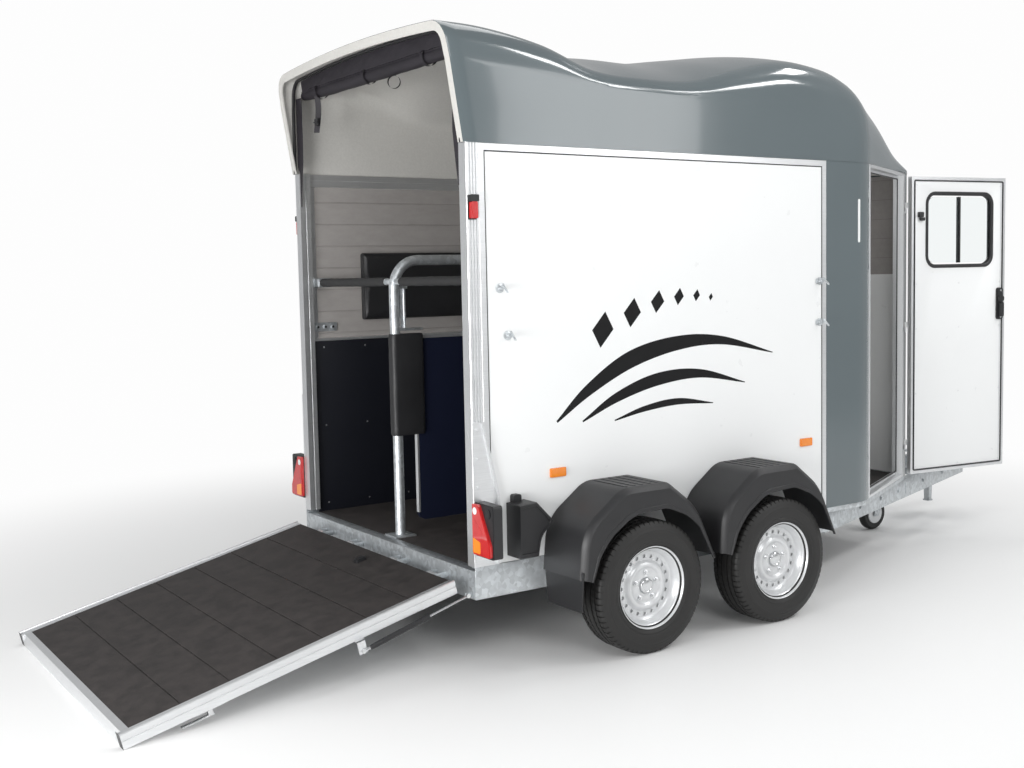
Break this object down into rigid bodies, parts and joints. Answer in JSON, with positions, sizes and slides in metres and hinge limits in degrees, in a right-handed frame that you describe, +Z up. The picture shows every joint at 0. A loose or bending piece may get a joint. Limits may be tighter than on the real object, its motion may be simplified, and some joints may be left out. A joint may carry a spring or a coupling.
{
  "type": "horse trailer",
  "caption": "Tandem-axle horse trailer with a wavy moulded roof, lowered rear ramp, hooped partition, padded bars and an angled nose with an open groom's door.",
  "frame": {"origin": "on the ground on the centreline, midway between the ramp's tip and the coupling's nose", "axes": "+X forward to the coupling, +Y left, +Z up"},
  "size_m": [6.0863, 2.259, 2.797],
  "materials": {
    "galvanised": "hot-dip galvanised steel",
    "floor_rubber": "ribbed rubber matting",
    "white_panel": "white coated aluminium panel",
    "frame_alu": "anodised extrusion",
    "grey_moulding": "glossy moulded polyester, blue-grey",
    "black_board": "dark coated board",
    "black_cover": "black coated fabric over foam",
    "black_plastic": "black moulded plastic",
    "red_lens": "red lens",
    "amber_lens": "amber lens",
    "tyre_rubber": "black tyre rubber",
    "wheel_silver": "silver painted steel wheel",
    "window_glass": "clear acrylic",
    "bar_foam": "dark foam sleeve"
  },
  "bodies": {
    "trailer": {"chassis_frame": "galvanised", "drawbar": "galvanised", "floor_board": "floor_rubber", "nose_sill": "galvanised", "side_wall_right": "white_panel", "side_wall_left": "white_panel", "wall_frame_right": "frame_alu", "wall_frame_left": "frame_alu", "rear_frame": "galvanised", "roof_shell": "grey_moulding", "front_shell": "grey_moulding", "door_frame": "frame_alu", "bulkhead": "white_panel", "kick_panels": "black_board", "wall_pad_left": "black_cover", "wall_pad_right": "black_cover", "partition_frame": "galvanised", "partition_panel": "black_board", "axle_front": "galvanised", "axle_rear": "galvanised", "mudguards_right": "black_plastic", "mudguards_left": "black_plastic", "overrun_housing": "galvanised", "coupling_head": "galvanised", "handbrake_lever": "galvanised", "jockey_tube": "galvanised", "tail_lamps": "red_lens", "marker_lamps": "amber_lens", "wheel_chock": "black_plastic", "rear_curtain": "black_cover", "ramp_hinges": "galvanised", "bar_brackets": "galvanised", "door_hinges": "frame_alu"},
    "ramp": {"ramp_frame": "frame_alu", "ramp_mat": "floor_rubber"},
    "door": {"groom_door": "white_panel", "door_window_frame": "black_plastic", "door_glass": "window_glass", "door_handle": "black_plastic"},
    "jockey_slider": {"jockey_inner": "galvanised"},
    "jockey_caster": {"jockey_fork": "galvanised"},
    "jockey_roller": {"jockey_wheel": "tyre_rubber"},
    "spring_cylinder_left": {"gas_cylinder_left": "black_plastic"},
    "spring_rod_left": {"gas_rod_left": "galvanised"},
    "rump_bar_left": {"rump_bar_left": "bar_foam"},
    "breast_bar_left": {"breast_bar_left": "bar_foam"},
    "wheel_front_left": {"tyre_front_left": "tyre_rubber", "rim_front_left": "wheel_silver"},
    "wheel_rear_left": {"tyre_rear_left": "tyre_rubber", "rim_rear_left": "wheel_silver"},
    "spring_cylinder_right": {"gas_cylinder_right": "black_plastic"},
    "spring_rod_right": {"gas_rod_right": "galvanised"},
    "rump_bar_right": {"rump_bar_right": "bar_foam"},
    "breast_bar_right": {"breast_bar_right": "bar_foam"},
    "wheel_front_right": {"tyre_front_right": "tyre_rubber", "rim_front_right": "wheel_silver"},
    "wheel_rear_right": {"tyre_rear_right": "tyre_rubber", "rim_rear_right": "wheel_silver"}
  },
  "joints": [
    {"name": "ramp_hinge", "type": "hinge", "parent": "trailer", "child": "ramp", "pos_m": [-1.60976, 0, 0.368], "axis": [0, 1, 0], "range_deg": [0, 103.51]},
    {"name": "door_hinge", "type": "hinge", "parent": "trailer", "child": "door", "pos_m": [1.64888, -0.48514, 1.31], "axis": [0, 0, 1], "range_deg": [-146, 0]},
    {"name": "jockey_lift", "type": "slide", "parent": "trailer", "child": "jockey_slider", "axis": [0, 0, 1], "range_m": [0, 0.12]},
    {"name": "jockey_swivel", "type": "hinge", "parent": "jockey_slider", "child": "jockey_caster", "pos_m": [2.00824, 0, 0.23], "axis": [0, 0, 1], "continuous": true},
    {"name": "jockey_spin", "type": "hinge", "parent": "jockey_caster", "child": "jockey_roller", "pos_m": [1.94624, 0, 0.104], "axis": [0, 1, 0], "continuous": true},
    {"name": "spring_swing_left", "type": "hinge", "parent": "trailer", "child": "spring_cylinder_left", "pos_m": [-1.58776, 0.816, 0.325], "axis": [0, 1, 0], "range_deg": [0, 96.48]},
    {"name": "spring_stroke_left", "type": "slide", "parent": "spring_cylinder_left", "child": "spring_rod_left", "axis": [-0.9608, 0, -0.2772], "range_m": [0, 0.03897]},
    {"name": "rump_bar_drop_left", "type": "hinge", "parent": "trailer", "child": "rump_bar_left", "pos_m": [-1.45676, 0.775, 1.64], "axis": [1, 0, 0], "range_deg": [0, 90]},
    {"name": "breast_bar_drop_left", "type": "hinge", "parent": "trailer", "child": "breast_bar_left", "pos_m": [0.35224, 0.775, 1.64], "axis": [1, 0, 0], "range_deg": [0, 90]},
    {"name": "wheel_spin_front_left", "type": "hinge", "parent": "trailer", "child": "wheel_front_left", "pos_m": [-0.03076, 1.025, 0.2945], "axis": [0, 1, 0], "continuous": true},
    {"name": "wheel_spin_rear_left", "type": "hinge", "parent": "trailer", "child": "wheel_rear_left", "pos_m": [-0.82476, 1.025, 0.2945], "axis": [0, 1, 0], "continuous": true},
    {"name": "spring_swing_right", "type": "hinge", "parent": "trailer", "child": "spring_cylinder_right", "pos_m": [-1.58776, -0.816, 0.325], "axis": [0, 1, 0], "range_deg": [0, 96.48]},
    {"name": "spring_stroke_right", "type": "slide", "parent": "spring_cylinder_right", "child": "spring_rod_right", "axis": [-0.9608, 0, -0.2772], "range_m": [0, 0.03897]},
    {"name": "rump_bar_drop_right", "type": "hinge", "parent": "trailer", "child": "rump_bar_right", "pos_m": [-1.45676, -0.775, 1.64], "axis": [1, 0, 0], "range_deg": [-90, 0]},
    {"name": "breast_bar_drop_right", "type": "hinge", "parent": "trailer", "child": "breast_bar_right", "pos_m": [0.35224, -0.775, 1.64], "axis": [1, 0, 0], "range_deg": [-90, 0]},
    {"name": "wheel_spin_front_right", "type": "hinge", "parent": "trailer", "child": "wheel_front_right", "pos_m": [-0.03076, -1.025, 0.2945], "axis": [0, 1, 0], "continuous": true},
    {"name": "wheel_spin_rear_right", "type": "hinge", "parent": "trailer", "child": "wheel_rear_right", "pos_m": [-0.82476, -1.025, 0.2945], "axis": [0, 1, 0], "continuous": true}
  ],
  "couplings": [
    {"joint": "spring_swing_left", "follows": "ramp_hinge", "ratio": 0.93203},
    {"joint": "spring_stroke_left", "follows": "ramp_hinge", "m_per_rad": 0.021518},
    {"joint": "spring_swing_right", "follows": "ramp_hinge", "ratio": 0.93203},
    {"joint": "spring_stroke_right", "follows": "ramp_hinge", "m_per_rad": 0.021518}
  ]
}
